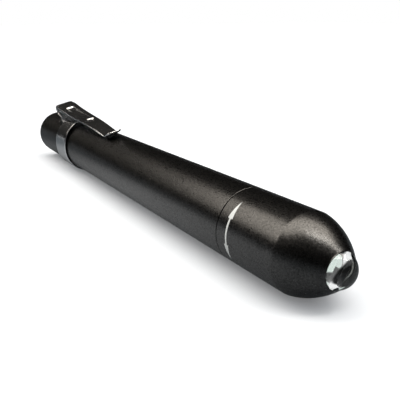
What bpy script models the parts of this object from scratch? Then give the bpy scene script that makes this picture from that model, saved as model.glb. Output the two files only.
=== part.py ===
"""Twist-head penlight with a spring clip, at its real size in metres.

The light lies along +X with its lens at +X, and stands on the plane Z = 0. Places along it are
counted from the seam between head and tube, plus towards the lens. The model's origin is under
the middle of its length. Every turned piece is a profile of (radius, place) points, from its lens
end down the outer side.
"""

import math

import bmesh
import bpy
from mathutils import Vector

# Outer form
TUBE_LENGTH = 0.1064
TAIL_RADIUS = 0.00662
SEAM_RADIUS = 0.0073
HEAD_RADIUS = 0.0074
HEAD_LENGTH = 0.0155
NOSE_REACH = 0.00994
NOSE_POWER = 1.5
TAIL_ROUNDING = 0.0005
EDGE = 0.0001
MOUTH_EDGE = 0.00006
SIDES = 48
INNER_SIDES = 32
SMALL_SIDES = 24

# Fits
GAP = 0.0003
SNUG = 0.0001
LENS_FIT = 0.00006

# Tube bore, neck and thread
BORE_RADIUS = 0.0055
TAIL_WALL = 0.005
NECK_RADIUS = 0.0062
NECK_LENGTH = 0.0056
NECK_CHAMFER = 0.0003
GROOVE_AT = 0.0012
ORING_WIRE = 0.00025
GROOVE_WIDTH = 0.0009
GROOVE_DEPTH = 0.00035

# Lens
LENS_RADIUS = 0.00331
LENS_FROM_CREASE = 0.00687
FLANGE_RADIUS = 0.0043
FLANGE_THICKNESS = 0.0012
LENS_BACK_DEPTH = 0.00347
LENS_ORING_WIRE = 0.0003

# Light engine
PILL_RADIUS = 0.0056
PILL_SKIRT = 0.0041
PILL_FLOOR = 0.0025
PILL_WALL = 0.0012
BOARD_THICKNESS = 0.001
DRIVER_RADIUS = 0.0062
RIM_GAP = 0.0005
LEAD_RADIUS = 0.0003
LEAD_OFFSET = 0.0033
LEAD_HOLE_RADIUS = 0.0006
CHIP_SIDE = 0.0035
CHIP_HEIGHT = 0.0007
DOME_RADIUS = 0.0013
SPACER_WALL = 0.0011
CONTACT_RADIUS = 0.0018
CONTACT_LENGTH = 0.0017
GUARD_INNER_RADIUS = 0.0024
GUARD_THICKNESS = 0.0013
DRIVER_CHIP = (0.001, 0.003, 0.003)
DRIVER_COIL = (0.0016, 0.0022, 0.0022)
DRIVER_PART_OFFSET = 0.0018

# Cells and tail spring
CELL_LENGTH = 0.0445
CELL_RADIUS = 0.00495
CELL_EDGE = 0.0003
NUB_RADIUS = 0.0019
NUB_HEIGHT = 0.001
SLEEVE_WALL = 0.0002
SLEEVE_MARGIN = 0.0006
SPRING_WIRE = 0.00025
SPRING_TAIL_RADIUS = 0.0042
SPRING_CELL_RADIUS = 0.0028
SPRING_TURNS = 8
SPRING_END_GAP = 0.00048

# Clip
LEAN = math.radians(13)
SHEET = 0.0004
BAND_FRONT = -0.0798
BAND_WIDTH = 0.0078
BAND_DRAW = 0.00075
TONGUE_ANGLE = math.radians(18.75)
TONGUE_BLEND = math.radians(11)
TONGUE_HALF_WIDTH = 0.00285
TONGUE_DROOP = 0.0003
TONGUE_RISE = math.radians(12)
FOLD_HALF_WIDTH = 0.00255
FOLD_RADIUS = 0.00145
FOLD_X = -0.09148
FOLD_HEIGHT = 0.01027
SHOULDER_LENGTH = 0.002
SHOULDER_DROOP = 0.00012
DROOP_LENGTH = 0.005
STRIP_HALF_WIDTH = 0.00285
STRIP_FALL = math.radians(7.35)
STRIP_BOW = math.radians(2.7)
STRIP_LENGTH = 0.033
STRIP_END_HALF_WIDTH = 0.00204
LIP_LENGTH = 0.0036
LIP_RISE = math.radians(17)
LIP_BEND_RADIUS = 0.0015
LIP_CORNER = 0.0008
CHANNEL_START = 0.0043
CHANNEL_LENGTH = 0.0155
CHANNEL_HALF_WIDTH = 0.0011
CHANNEL_DEPTH = 0.0005
CHANNEL_WALL = 0.0004
DIMPLE_RADIUS = 0.0015
DIMPLE_DEPTH = 0.0009
ARM_COLUMNS = (-1, -0.66, -0.5, -0.38, -0.19, 0, 0.19, 0.38, 0.5, 0.66, 1)
STATION_STEP = 0.0008

# Places that follow from the sizes above
LENS_CENTRE = HEAD_LENGTH + LENS_FROM_CREASE
LENS_TIP = LENS_CENTRE + LENS_RADIUS
FLANGE_BACK = LENS_CENTRE - LENS_BACK_DEPTH
SEAM_X = (TUBE_LENGTH - LENS_TIP) / 2
HALF_FACET = math.pi / SIDES
AXIS_HEIGHT = HEAD_RADIUS * math.cos(HALF_FACET)
SLEEVE_BORE = NECK_RADIUS + GAP
LENS_BORE = LENS_RADIUS + LENS_FIT
DRIVER_BACK = NECK_LENGTH + RIM_GAP
DRIVER_FRONT = DRIVER_BACK + BOARD_THICKNESS
PILL_BACK = DRIVER_FRONT + GAP
PILL_FRONT = PILL_BACK + PILL_SKIRT + PILL_FLOOR
BOARD_BACK = PILL_FRONT + GAP
BOARD_FRONT = BOARD_BACK + BOARD_THICKNESS
PILL_BORE = PILL_RADIUS + GAP
PILL_BORE_END = BOARD_FRONT + GAP + BOARD_THICKNESS
FLANGE_FRONT = FLANGE_BACK + FLANGE_THICKNESS
FLANGE_BORE = FLANGE_RADIUS + GAP
FLANGE_BORE_END = FLANGE_FRONT + 2 * SNUG + 2 * LENS_ORING_WIRE
CONTACT_BACK = DRIVER_BACK - SNUG - CONTACT_LENGTH
CELL_TIP = CONTACT_BACK - GAP
CELL_PITCH = CELL_LENGTH + GAP
SPRING_FRONT = CELL_TIP - 2 * CELL_LENGTH - 2 * GAP
SPRING_BACK = TAIL_WALL - TUBE_LENGTH + GAP
BAND_BACK = BAND_FRONT - BAND_WIDTH
BAND_RADIUS = AXIS_HEIGHT - SHEET / 2 / math.cos(HALF_FACET)


# Helpers

def clear_scene():
    for obj in list(bpy.data.objects):
        bpy.data.objects.remove(obj)


def new_collection(name, hidden=False):
    collection = bpy.data.collections.new(name)
    collection.hide_render = hidden
    bpy.context.scene.collection.children.link(collection)
    return collection


def empty(name, location, rotation, parent=None):
    obj = bpy.data.objects.new(name, None)
    obj.location = location
    obj.rotation_euler = rotation
    obj.parent = parent
    obj.empty_display_size = HEAD_RADIUS
    PARTS.objects.link(obj)
    return obj


def material(name, color, roughness, metallic, transmission=0.0):
    shade = bpy.data.materials.new(name)
    shade.use_nodes = True
    shader = shade.node_tree.nodes["Principled BSDF"]
    shader.inputs["Base Color"].default_value = (*color, 1.0)
    shader.inputs["Roughness"].default_value = roughness
    shader.inputs["Metallic"].default_value = metallic
    shader.inputs["Transmission Weight"].default_value = transmission
    shade.diffuse_color = (*color, 1.0)
    return shade


def place(name, mesh, look, parent, location=(0, 0, 0), rotation=(0, 0, 0)):
    obj = bpy.data.objects.new(name, mesh)
    obj.location = location
    obj.rotation_euler = rotation
    obj.parent = parent
    mesh.materials.append(look)
    PARTS.objects.link(obj)
    return obj


def turned(name, profile, look, parent, sides=SIDES, closed=False):
    """A profile of (radius, place) points, turned about the light's axis."""
    mesh = bpy.data.meshes.new(name)
    count = len(profile)
    edges = [(i, i + 1) for i in range(count - 1)]
    if closed:
        edges.append((count - 1, 0))
    mesh.from_pydata([(radius, 0, along) for radius, along in profile], edges, [])
    obj = place(name, mesh, look, parent, rotation=(0, math.pi / 2, 0))
    screw = obj.modifiers.new("Turn", "SCREW")
    screw.steps = sides
    screw.render_steps = sides
    screw.use_merge_vertices = True
    screw.merge_threshold = 0.00001
    screw.use_smooth_shade = True
    return obj


def ring_section(centre_radius, centre, wire_radius, points=8):
    """Round section of a sealing ring, as a closed profile."""
    angles = [math.pi / 2 - 2 * math.pi * i / points for i in range(points)]
    return [(centre_radius + wire_radius * math.cos(a), centre + wire_radius * math.sin(a))
            for a in angles]


def tube_along(name, path, radius, look, parent, resolution=1):
    """Round wire along a list of points, with closed ends."""
    curve = bpy.data.curves.new(name, "CURVE")
    curve.dimensions = "3D"
    curve.bevel_depth = radius
    curve.bevel_resolution = resolution
    curve.use_fill_caps = True
    spline = curve.splines.new("POLY")
    spline.points.add(len(path) - 1)
    for point, where in zip(spline.points, path):
        point.co = (*where, 1.0)
    return place(name, curve, look, parent)


def box(name, size, centre, look, parent):
    mesh = bpy.data.meshes.new(name)
    shape = bmesh.new()
    bmesh.ops.create_cube(shape, size=1.0)
    bmesh.ops.scale(shape, verts=shape.verts, vec=size)
    shape.to_mesh(mesh)
    shape.free()
    return place(name, mesh, look, parent, centre)


def drilled(obj, radius, places, start, end):
    """Round holes along the light's axis through a piece, at (y, z) places."""
    for number, (y, z) in enumerate(places):
        mesh = bpy.data.meshes.new(f"{obj.name}_drill_{number}")
        shape = bmesh.new()
        bmesh.ops.create_cone(shape, cap_ends=True, segments=SMALL_SIDES, radius1=radius,
                              radius2=radius, depth=end - start)
        shape.to_mesh(mesh)
        shape.free()
        cutter = bpy.data.objects.new(mesh.name, mesh)
        cutter.location = ((start + end) / 2, y, z)
        cutter.rotation_euler = (0, math.pi / 2, 0)
        cutter.parent = obj.parent
        cutter.hide_render = True
        cutter.display_type = "WIRE"
        CUTTERS.objects.link(cutter)
        cut = obj.modifiers.new(f"Drill {number}", "BOOLEAN")
        cut.operation = "DIFFERENCE"
        cut.solver = "EXACT"
        cut.object = cutter


def sheet(name, rows, look, parent, location=(0, 0, 0)):
    """Bent sheet metal: rows of {column: point} joined into faces, then given its thickness."""
    mesh = bpy.data.meshes.new(name)
    shape = bmesh.new()
    grid = [{column: shape.verts.new(point) for column, point in row.items()} for row in rows]
    for front, back in zip(grid, grid[1:]):
        for column in sorted(front):
            corners = (front.get(column), front.get(column + 1), back.get(column + 1),
                       back.get(column))
            if all(corners):
                shape.faces.new(corners)
    bmesh.ops.recalc_face_normals(shape, faces=shape.faces)
    shape.to_mesh(mesh)
    shape.free()
    obj = place(name, mesh, look, parent, location)
    thickness = obj.modifiers.new("Thickness", "SOLIDIFY")
    thickness.thickness = SHEET
    thickness.offset = 0.0
    thickness.use_even_offset = True
    return obj


def ease(value):
    """Smooth step from 0 to 1."""
    value = min(max(value, 0.0), 1.0)
    return value * value * (3 - 2 * value)


# Tube and head

def nose_radius(place_from_crease):
    """Blunt nose: a power curve that would close on the axis at NOSE_REACH."""
    share = max(place_from_crease, 0.0) / NOSE_REACH
    return HEAD_RADIUS * (1 - share ** NOSE_POWER) ** (1 / NOSE_POWER)


def mouth_radius(at):
    """Inner radius of the lens mouth, which follows the ball past its widest point."""
    beyond = max(at - LENS_CENTRE, 0.0)
    return math.sqrt(LENS_RADIUS ** 2 - beyond ** 2) + LENS_FIT


def mouth_place():
    """Where the nose curve comes down to within its edge of the lens mouth."""
    step = MOUTH_EDGE / 4
    at = min(HEAD_LENGTH + NOSE_REACH, LENS_TIP) - step
    while nose_radius(at - HEAD_LENGTH) - mouth_radius(at) < MOUTH_EDGE:
        at -= step
    return at


def make_barrel():
    groove_front = GROOVE_AT + GROOVE_WIDTH / 2
    groove_back = GROOVE_AT - GROOVE_WIDTH / 2
    groove = NECK_RADIUS - GROOVE_DEPTH
    tail = -TUBE_LENGTH
    corner = [(TAIL_RADIUS - TAIL_ROUNDING * (1 - math.cos(a)),
               tail + TAIL_ROUNDING * (1 - math.sin(a)))
              for a in (math.radians(angle) for angle in (0, 30, 60, 90))]
    profile = [
        (0, tail + TAIL_WALL),
        (BORE_RADIUS, tail + TAIL_WALL),
        (BORE_RADIUS, NECK_LENGTH),
        (NECK_RADIUS - NECK_CHAMFER, NECK_LENGTH),
        (NECK_RADIUS, NECK_LENGTH - NECK_CHAMFER),
        (NECK_RADIUS, groove_front),
        (groove, groove_front),
        (groove, groove_back),
        (NECK_RADIUS, groove_back),
        (NECK_RADIUS, -GAP / 2),
        (SEAM_RADIUS - EDGE, -GAP / 2),
        (SEAM_RADIUS, -GAP / 2 - EDGE),
        *corner,
        (0, tail),
    ]
    turned("barrel", profile, LOOKS["anodised"], AXIS)


def make_neck_oring():
    radius = NECK_RADIUS - GROOVE_DEPTH + SNUG + ORING_WIRE
    turned("neck_oring", ring_section(radius, GROOVE_AT, ORING_WIRE), LOOKS["rubber"], AXIS,
           sides=INNER_SIDES, closed=True)


def make_head():
    mouth = mouth_place()
    steps = 14
    nose = [mouth - (mouth - HEAD_LENGTH) * (i / steps) ** 1.25 for i in range(steps + 1)]
    lip = [LENS_CENTRE + (mouth - LENS_CENTRE) * i / 3 for i in range(4)]
    profile = [(nose_radius(at - HEAD_LENGTH), at) for at in nose]
    profile += [
        (SEAM_RADIUS, GAP / 2 + EDGE),
        (SEAM_RADIUS - EDGE, GAP / 2),
        (SLEEVE_BORE, GAP / 2),
        (SLEEVE_BORE, PILL_BACK),
        (PILL_BORE, PILL_BACK),
        (PILL_BORE, PILL_BORE_END),
        (FLANGE_BORE, PILL_BORE_END),
        (FLANGE_BORE, FLANGE_BORE_END),
        (LENS_BORE, FLANGE_BORE_END),
    ]
    profile += [(mouth_radius(at), at) for at in lip]
    turned("head_shell", profile, LOOKS["anodised"], HEAD, closed=True)


# Lens and light engine

def make_lens():
    steps = 10
    angles = [math.pi / 2 - math.pi / 2 * i / steps for i in range(steps + 1)]
    profile = [(LENS_RADIUS * math.cos(a), LENS_CENTRE + LENS_RADIUS * math.sin(a))
               for a in angles]
    profile[0] = (0, LENS_TIP)
    profile += [
        (LENS_RADIUS, FLANGE_FRONT),
        (FLANGE_RADIUS, FLANGE_FRONT),
        (FLANGE_RADIUS, FLANGE_BACK),
        (0, FLANGE_BACK),
    ]
    turned("lens", profile, LOOKS["glass"], HEAD, sides=INNER_SIDES)


def make_lens_oring():
    radius = LENS_RADIUS + SNUG + LENS_ORING_WIRE
    centre = FLANGE_FRONT + SNUG + LENS_ORING_WIRE
    turned("lens_oring", ring_section(radius, centre, LENS_ORING_WIRE), LOOKS["rubber"], HEAD,
           sides=INNER_SIDES, closed=True)


def make_lens_spacer():
    foot = BOARD_FRONT + GAP
    step = foot + BOARD_THICKNESS - GAP
    back_radius = PILL_BORE - GAP
    inner = FLANGE_RADIUS - SPACER_WALL
    top = FLANGE_BACK - GAP
    profile = [
        (inner, top),
        (FLANGE_RADIUS, top),
        (FLANGE_RADIUS, step),
        (back_radius, step),
        (back_radius, foot),
        (back_radius - SPACER_WALL, foot),
    ]
    turned("lens_spacer", profile, LOOKS["white_plastic"], HEAD, sides=INNER_SIDES, closed=True)


def make_led():
    base = BOARD_FRONT + SNUG
    package = (CHIP_HEIGHT, CHIP_SIDE, CHIP_SIDE)
    box("led_package", package, (base + CHIP_HEIGHT / 2, 0, 0), LOOKS["ceramic"], HEAD)
    dome_base = base + CHIP_HEIGHT + SNUG
    steps = 6
    angles = [math.pi / 2 * (1 - i / steps) for i in range(steps + 1)]
    profile = [(DOME_RADIUS * math.cos(a), dome_base + DOME_RADIUS * math.sin(a)) for a in angles]
    profile[0] = (0, dome_base + DOME_RADIUS)
    profile.append((0, dome_base))
    turned("led_dome", profile, LOOKS["phosphor"], HEAD, sides=SMALL_SIDES)


def lead_places():
    return [(LEAD_OFFSET, 0), (-LEAD_OFFSET, 0)]


def make_boards():
    board = [(0, BOARD_FRONT), (PILL_RADIUS, BOARD_FRONT), (PILL_RADIUS, BOARD_BACK),
             (0, BOARD_BACK)]
    obj = turned("led_board", board, LOOKS["white_board"], HEAD, sides=INNER_SIDES)
    drilled(obj, LEAD_HOLE_RADIUS, lead_places(), BOARD_BACK - GAP, BOARD_FRONT + GAP)
    driver = [(0, DRIVER_FRONT), (DRIVER_RADIUS, DRIVER_FRONT), (DRIVER_RADIUS, DRIVER_BACK),
              (0, DRIVER_BACK)]
    turned("driver_board", driver, LOOKS["green_board"], HEAD, sides=INNER_SIDES)
    base = DRIVER_FRONT + SNUG
    box("driver_chip", DRIVER_CHIP, (base + DRIVER_CHIP[0] / 2, 0, DRIVER_PART_OFFSET),
        LOOKS["black_plastic"], HEAD)
    box("driver_coil", DRIVER_COIL, (base + DRIVER_COIL[0] / 2, 0, -DRIVER_PART_OFFSET),
        LOOKS["black_plastic"], HEAD)


def make_pill():
    inner = PILL_RADIUS - PILL_WALL
    floor = PILL_BACK + PILL_SKIRT
    profile = [
        (0, PILL_FRONT),
        (PILL_RADIUS, PILL_FRONT),
        (PILL_RADIUS, PILL_BACK),
        (inner, PILL_BACK),
        (inner, floor),
        (0, floor),
    ]
    obj = turned("led_housing", profile, LOOKS["aluminium"], HEAD, sides=INNER_SIDES)
    drilled(obj, LEAD_HOLE_RADIUS, lead_places(), floor - GAP, PILL_FRONT + GAP)


def make_leads():
    ends = (DRIVER_FRONT + SNUG, BOARD_FRONT + SNUG)
    for name, (y, z) in zip(("led_lead_left", "led_lead_right"), lead_places()):
        path = [(along, y, z) for along in ends]
        tube_along(name, path, LEAD_RADIUS, LOOKS["copper"], HEAD, resolution=2)


def make_contacts():
    post = [
        (0, CONTACT_BACK + CONTACT_LENGTH),
        (CONTACT_RADIUS, CONTACT_BACK + CONTACT_LENGTH),
        (CONTACT_RADIUS, CONTACT_BACK + NECK_CHAMFER),
        (CONTACT_RADIUS - NECK_CHAMFER, CONTACT_BACK),
        (0, CONTACT_BACK),
    ]
    turned("positive_contact", post, LOOKS["brass"], HEAD, sides=SMALL_SIDES)
    front = DRIVER_BACK - SNUG
    outer = BORE_RADIUS - 2 * GAP
    guard = [(GUARD_INNER_RADIUS, front), (outer, front), (outer, front - GUARD_THICKNESS),
             (GUARD_INNER_RADIUS, front - GUARD_THICKNESS)]
    turned("polarity_ring", guard, LOOKS["fibre"], HEAD, sides=INNER_SIDES, closed=True)


# Cells and spring

def make_cell(name, tip):
    shoulder = tip - NUB_HEIGHT
    back = tip - CELL_LENGTH
    can = [
        (0, tip),
        (NUB_RADIUS, tip),
        (NUB_RADIUS, shoulder),
        (CELL_RADIUS - CELL_EDGE, shoulder),
        (CELL_RADIUS, shoulder - CELL_EDGE),
        (CELL_RADIUS, back + CELL_EDGE),
        (CELL_RADIUS - CELL_EDGE, back),
        (0, back),
    ]
    turned(name, can, LOOKS["steel"], CELLS, sides=INNER_SIDES)
    inner = CELL_RADIUS + SNUG
    outer = inner + SLEEVE_WALL
    ends = (shoulder - SLEEVE_MARGIN, back + SLEEVE_MARGIN)
    sleeve = [(inner, ends[0]), (outer, ends[0]), (outer, ends[1]), (inner, ends[1])]
    turned(name + "_sleeve", sleeve, LOOKS["sleeve"], CELLS, sides=INNER_SIDES, closed=True)


def make_spring():
    """Conical compression spring whose end turns lie flat: angle runs evenly, height eases."""
    per_turn = 10
    count = SPRING_TURNS * per_turn
    back = SPRING_BACK + SPRING_WIRE
    front = SPRING_FRONT - SPRING_WIRE
    flat = 1 / SPRING_TURNS
    closed_rise = 2 * SPRING_WIRE + SPRING_END_GAP
    path = []
    for i in range(count + 1):
        share = i / count
        turn = 2 * math.pi * SPRING_TURNS * share
        radius = SPRING_TAIL_RADIUS + (SPRING_CELL_RADIUS - SPRING_TAIL_RADIUS) * share
        if share < flat:
            along = back + closed_rise * share / flat
        elif share > 1 - flat:
            along = front - closed_rise * (1 - share) / flat
        else:
            middle = (share - flat) / (1 - 2 * flat)
            along = back + closed_rise + (front - back - 2 * closed_rise) * middle
        path.append((along, radius * math.cos(turn), radius * math.sin(turn)))
    least = min((Vector(a) - Vector(b)).length
                for i, a in enumerate(path) for b in path[i + per_turn // 2:])
    print(f"tail_spring: least gap to itself {1000 * (least - 2 * SPRING_WIRE):.2f} mm")
    tube_along("tail_spring", path, SPRING_WIRE, LOOKS["spring_steel"], AXIS)


# Clip, in a frame that leans with it: x along the light, y across the clip, z out from the axis

def fold_point(heading, radius=FOLD_RADIUS):
    """Point on the fold where the sheet heads this way, 0 rearward and a right angle outward."""
    return (FOLD_X - radius * math.sin(heading), FOLD_HEIGHT - radius * math.cos(heading))


def band_columns():
    """Angles of the band's facets from the clip's middle plane, open opposite the clip."""
    count = SIDES // 2
    return {k: (2 * k + 1) * HALF_FACET for k in range(-count, count)}


def tongue_height(at):
    """Middle of the sheet over the tube: rises from the band's front edge to the fold."""
    start_height = BAND_RADIUS + BAND_DRAW
    end_x, end_height = fold_point(TONGUE_RISE)
    share = max((BAND_FRONT - at) / (BAND_FRONT - end_x), 0.0)
    power = math.tan(TONGUE_RISE) * (BAND_FRONT - end_x) / (end_height - start_height)
    return start_height + (end_height - start_height) * share ** power


def band_point(angle, at):
    """Sheet's middle at this angle and place: round the tube, and flat where the tongue rises."""
    round_y = BAND_RADIUS * math.sin(angle)
    round_z = BAND_RADIUS * math.cos(angle) + BAND_DRAW * max(math.cos(angle), 0.0)
    end_x = fold_point(TONGUE_RISE)[0]
    rear = ease((BAND_FRONT - at) / BAND_WIDTH)
    narrowing = ease((BAND_BACK - at) / (BAND_BACK - end_x))
    side = min(max(angle / TONGUE_ANGLE, -1.0), 1.0)
    half_width = TONGUE_HALF_WIDTH + (FOLD_HALF_WIDTH - TONGUE_HALF_WIDTH) * narrowing
    height = tongue_height(at) - TONGUE_DROOP * side ** 2 * (1 - narrowing)
    share = ease(1 - (abs(angle) - TONGUE_ANGLE) / TONGUE_BLEND) * rear
    y = round_y + (side * half_width - round_y) * share
    z = round_z + (height - round_z) * share
    return Vector((at, y, z))


def make_clip_band():
    columns = band_columns()
    last = SIDES // 2 - 1
    kept = {k: a for k, a in columns.items() if -last <= k <= last - 1}
    tongue = {k: a for k, a in columns.items() if abs(a) <= TONGUE_ANGLE + HALF_FACET / 2}
    flare = {k: a for k, a in columns.items() if abs(a) <= TONGUE_ANGLE + 2.5 * HALF_FACET}
    rows = []
    band_steps = 6
    for i in range(band_steps + 1):
        at = BAND_FRONT - BAND_WIDTH * i / band_steps
        rows.append({k: band_point(a, at) for k, a in kept.items()})
    end_x = fold_point(TONGUE_RISE)[0]
    tongue_steps = 4
    for i in range(1, tongue_steps + 1):
        at = BAND_BACK + (end_x - BAND_BACK) * i / tongue_steps
        if i == 1:
            inward = HALF_FACET
            rows.append({k: band_point(math.copysign(min(abs(a), TONGUE_ANGLE + inward), a), at)
                         for k, a in flare.items()})
        else:
            rows.append({k: band_point(a, at) for k, a in tongue.items()})
    heading_end = math.pi / 2 - GAP / FOLD_RADIUS / 2
    fold_steps = 5
    for i in range(1, fold_steps + 1):
        heading = TONGUE_RISE + (heading_end - TONGUE_RISE) * i / fold_steps
        x, z = fold_point(heading)
        rows.append({k: Vector((x, FOLD_HALF_WIDTH * a / TONGUE_ANGLE, z))
                     for k, a in tongue.items()})
    sheet("clip_band", rows, LOOKS["clip_steel"], CLIP)


def strip_path():
    """Middle line of the arm from the fold to the tip: (distance, x, z, heading) stations."""
    stations = []
    heading = math.pi / 2 + GAP / FOLD_RADIUS / 2
    fall = STRIP_FALL + STRIP_BOW
    fold_steps = 6
    for i in range(fold_steps + 1):
        turn = heading + (math.pi + fall - heading) * i / fold_steps
        x, z = fold_point(turn)
        stations.append([FOLD_RADIUS * (turn - math.pi - fall), x, z, turn])
    x, z = stations[-1][1:3]
    bend = (fall + LIP_RISE) * LIP_BEND_RADIUS
    count = math.ceil((STRIP_LENGTH + LIP_LENGTH) / STATION_STEP)
    step = (STRIP_LENGTH + LIP_LENGTH) / count
    for i in range(1, count + 1):
        distance = step * i
        wave = 2 * math.pi * min(distance / STRIP_LENGTH, 1.0)
        past = min(max((distance - STRIP_LENGTH + bend / 2) / bend, 0.0), 1.0)
        slope = STRIP_FALL + STRIP_BOW * math.cos(wave)
        turn = math.pi + slope * (1 - past) - LIP_RISE * past
        x -= math.cos(turn) * step
        z += math.sin(turn) * step
        stations.append([distance, x, z, turn])
    return stations


def strip_half_width(distance):
    """Narrow at the fold, full behind the shoulders, tapering to the lip's rounded corners."""
    along = min(max(distance / STRIP_LENGTH, 0.0), 1.0)
    full = STRIP_HALF_WIDTH + (STRIP_END_HALF_WIDTH - STRIP_HALF_WIDTH) * along
    shoulder = ease(distance / SHOULDER_LENGTH)
    into_corner = max(distance - STRIP_LENGTH - LIP_LENGTH + LIP_CORNER, 0.0)
    corner = LIP_CORNER - math.sqrt(max(LIP_CORNER ** 2 - into_corner ** 2, 0.0))
    return FOLD_HALF_WIDTH + (full - FOLD_HALF_WIDTH) * shoulder - corner


def strip_sink(distance, across):
    """Depth of the stamped channel and of the round dimple at its end."""
    along_in = min(distance - CHANNEL_START, CHANNEL_START + CHANNEL_LENGTH - distance)
    inside = min(along_in, CHANNEL_HALF_WIDTH - abs(across)) / CHANNEL_WALL
    channel = CHANNEL_DEPTH * ease(inside + 0.5)
    reach = math.hypot(distance - CHANNEL_START - CHANNEL_LENGTH, across) / DIMPLE_RADIUS
    return max(channel, DIMPLE_DEPTH * ease(1.25 - reach))


def make_clip_arm():
    rows = []
    for distance, x, z, heading in strip_path():
        half_width = strip_half_width(distance)
        droop = SHOULDER_DROOP * ease(1 - distance / DROOP_LENGTH) * max(-math.cos(heading), 0.0)
        row = {}
        for column, share in enumerate(ARM_COLUMNS):
            across = share * half_width
            sink = strip_sink(distance, across) + droop * share ** 4
            row[column] = Vector((x - FOLD_X + sink * math.sin(heading), across,
                                  z - FOLD_HEIGHT + sink * math.cos(heading)))
        rows.append(row)
    sheet("clip_arm", rows, LOOKS["clip_steel"], CLIP, location=(FOLD_X, 0, FOLD_HEIGHT))


clear_scene()
PARTS = new_collection("twist_head_penlight")
CUTTERS = new_collection("penlight_cutters", hidden=True)
LOOKS = {
    "anodised": material("black_anodised", (0.03, 0.03, 0.032), 0.42, 0.9),
    "clip_steel": material("dark_spring_steel", (0.2, 0.2, 0.2), 0.28, 1.0),
    "spring_steel": material("spring_wire", (0.62, 0.62, 0.6), 0.25, 1.0),
    "steel": material("nickel_plated_steel", (0.66, 0.65, 0.62), 0.3, 1.0),
    "sleeve": material("cell_sleeve", (0.08, 0.16, 0.3), 0.35, 0.0),
    "rubber": material("black_rubber", (0.02, 0.02, 0.02), 0.7, 0.0),
    "glass": material("clear_glass", (0.95, 0.97, 0.97), 0.02, 0.0, transmission=1.0),
    "white_plastic": material("white_plastic", (0.85, 0.85, 0.83), 0.4, 0.0),
    "white_board": material("white_board", (0.8, 0.8, 0.78), 0.4, 0.0),
    "green_board": material("green_board", (0.03, 0.22, 0.08), 0.4, 0.0),
    "ceramic": material("led_ceramic", (0.8, 0.8, 0.78), 0.5, 0.0),
    "phosphor": material("led_phosphor", (0.85, 0.7, 0.12), 0.3, 0.0),
    "black_plastic": material("black_plastic", (0.03, 0.03, 0.03), 0.45, 0.0),
    "aluminium": material("bare_aluminium", (0.7, 0.7, 0.7), 0.35, 1.0),
    "copper": material("tinned_copper", (0.75, 0.62, 0.5), 0.3, 1.0),
    "brass": material("brass", (0.75, 0.56, 0.25), 0.3, 1.0),
    "fibre": material("fibre_washer", (0.12, 0.09, 0.07), 0.7, 0.0),
}
AXIS = empty("light_axis", (SEAM_X, 0, AXIS_HEIGHT), (HALF_FACET, 0, 0))
CELLS = empty("cells_axis", (0, 0, 0), (0, 0, 0), AXIS)
HEAD = empty("head_axis", (0, 0, 0), (0, 0, 0), AXIS)
CLIP = empty("clip_frame", (SEAM_X, 0, AXIS_HEIGHT), (LEAN, 0, 0))
make_barrel()
make_neck_oring()
make_head()
make_lens()
make_lens_oring()
make_lens_spacer()
make_led()
make_boards()
make_pill()
make_leads()
make_contacts()
make_cell("battery_front", CELL_TIP)
make_cell("battery_rear", CELL_TIP - CELL_PITCH)
make_spring()
make_clip_band()
make_clip_arm()
print("penlight: seam at x", round(SEAM_X, 5), "fold centre", round(SEAM_X + FOLD_X, 5))
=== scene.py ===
import math

import bpy
import numpy as np
from mathutils import Matrix


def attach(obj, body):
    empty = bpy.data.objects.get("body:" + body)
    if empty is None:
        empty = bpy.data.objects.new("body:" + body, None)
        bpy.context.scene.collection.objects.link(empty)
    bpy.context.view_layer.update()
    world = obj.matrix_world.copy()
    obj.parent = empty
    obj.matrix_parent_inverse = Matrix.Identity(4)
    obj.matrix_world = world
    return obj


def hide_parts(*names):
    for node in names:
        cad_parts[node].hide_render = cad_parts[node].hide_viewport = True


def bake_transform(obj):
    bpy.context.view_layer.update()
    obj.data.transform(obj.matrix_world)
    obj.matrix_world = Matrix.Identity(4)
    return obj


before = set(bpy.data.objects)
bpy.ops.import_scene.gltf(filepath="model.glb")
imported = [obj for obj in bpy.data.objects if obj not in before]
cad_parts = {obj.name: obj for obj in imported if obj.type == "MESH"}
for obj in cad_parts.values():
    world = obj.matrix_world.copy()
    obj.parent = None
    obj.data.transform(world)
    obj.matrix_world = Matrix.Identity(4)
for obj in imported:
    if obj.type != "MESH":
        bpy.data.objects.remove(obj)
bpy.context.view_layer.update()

print("frame loaded with", len(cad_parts), "nodes")

# Places along the light are counted from the seam between tube and head, plus towards the lens.
light = {"seamAt": 0.04036, "axisHeight": 0.0073842, "clipLean": math.radians(13)}


# Camera and studio

camera = {
    "place": (0.11792, -0.05944, 0.04403),
    "right": (0.5323, 0.8466, 0.0),
    "up": (-0.2622, 0.1649, 0.9508),
    "back": (0.8049, -0.5061, 0.3097),
    "lens": 50.4,
    "sensor": 36.0,
    "nearest": 0.001,
}
cameraData = bpy.data.cameras.new("camera")
cameraData.lens = camera["lens"]
cameraData.sensor_width = camera["sensor"]
cameraData.clip_start = camera["nearest"]
cameraObject = bpy.data.objects.new("camera", cameraData)
bpy.context.scene.collection.objects.link(cameraObject)
cameraTurn = np.eye(4)
cameraTurn[:3, 0] = camera["right"]
cameraTurn[:3, 1] = camera["up"]
cameraTurn[:3, 2] = camera["back"]
cameraTurn[:3, 3] = camera["place"]
cameraObject.matrix_world = Matrix(cameraTurn.tolist())
bpy.context.scene.camera = cameraObject
bpy.context.scene.view_settings.view_transform = "Standard"

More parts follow.
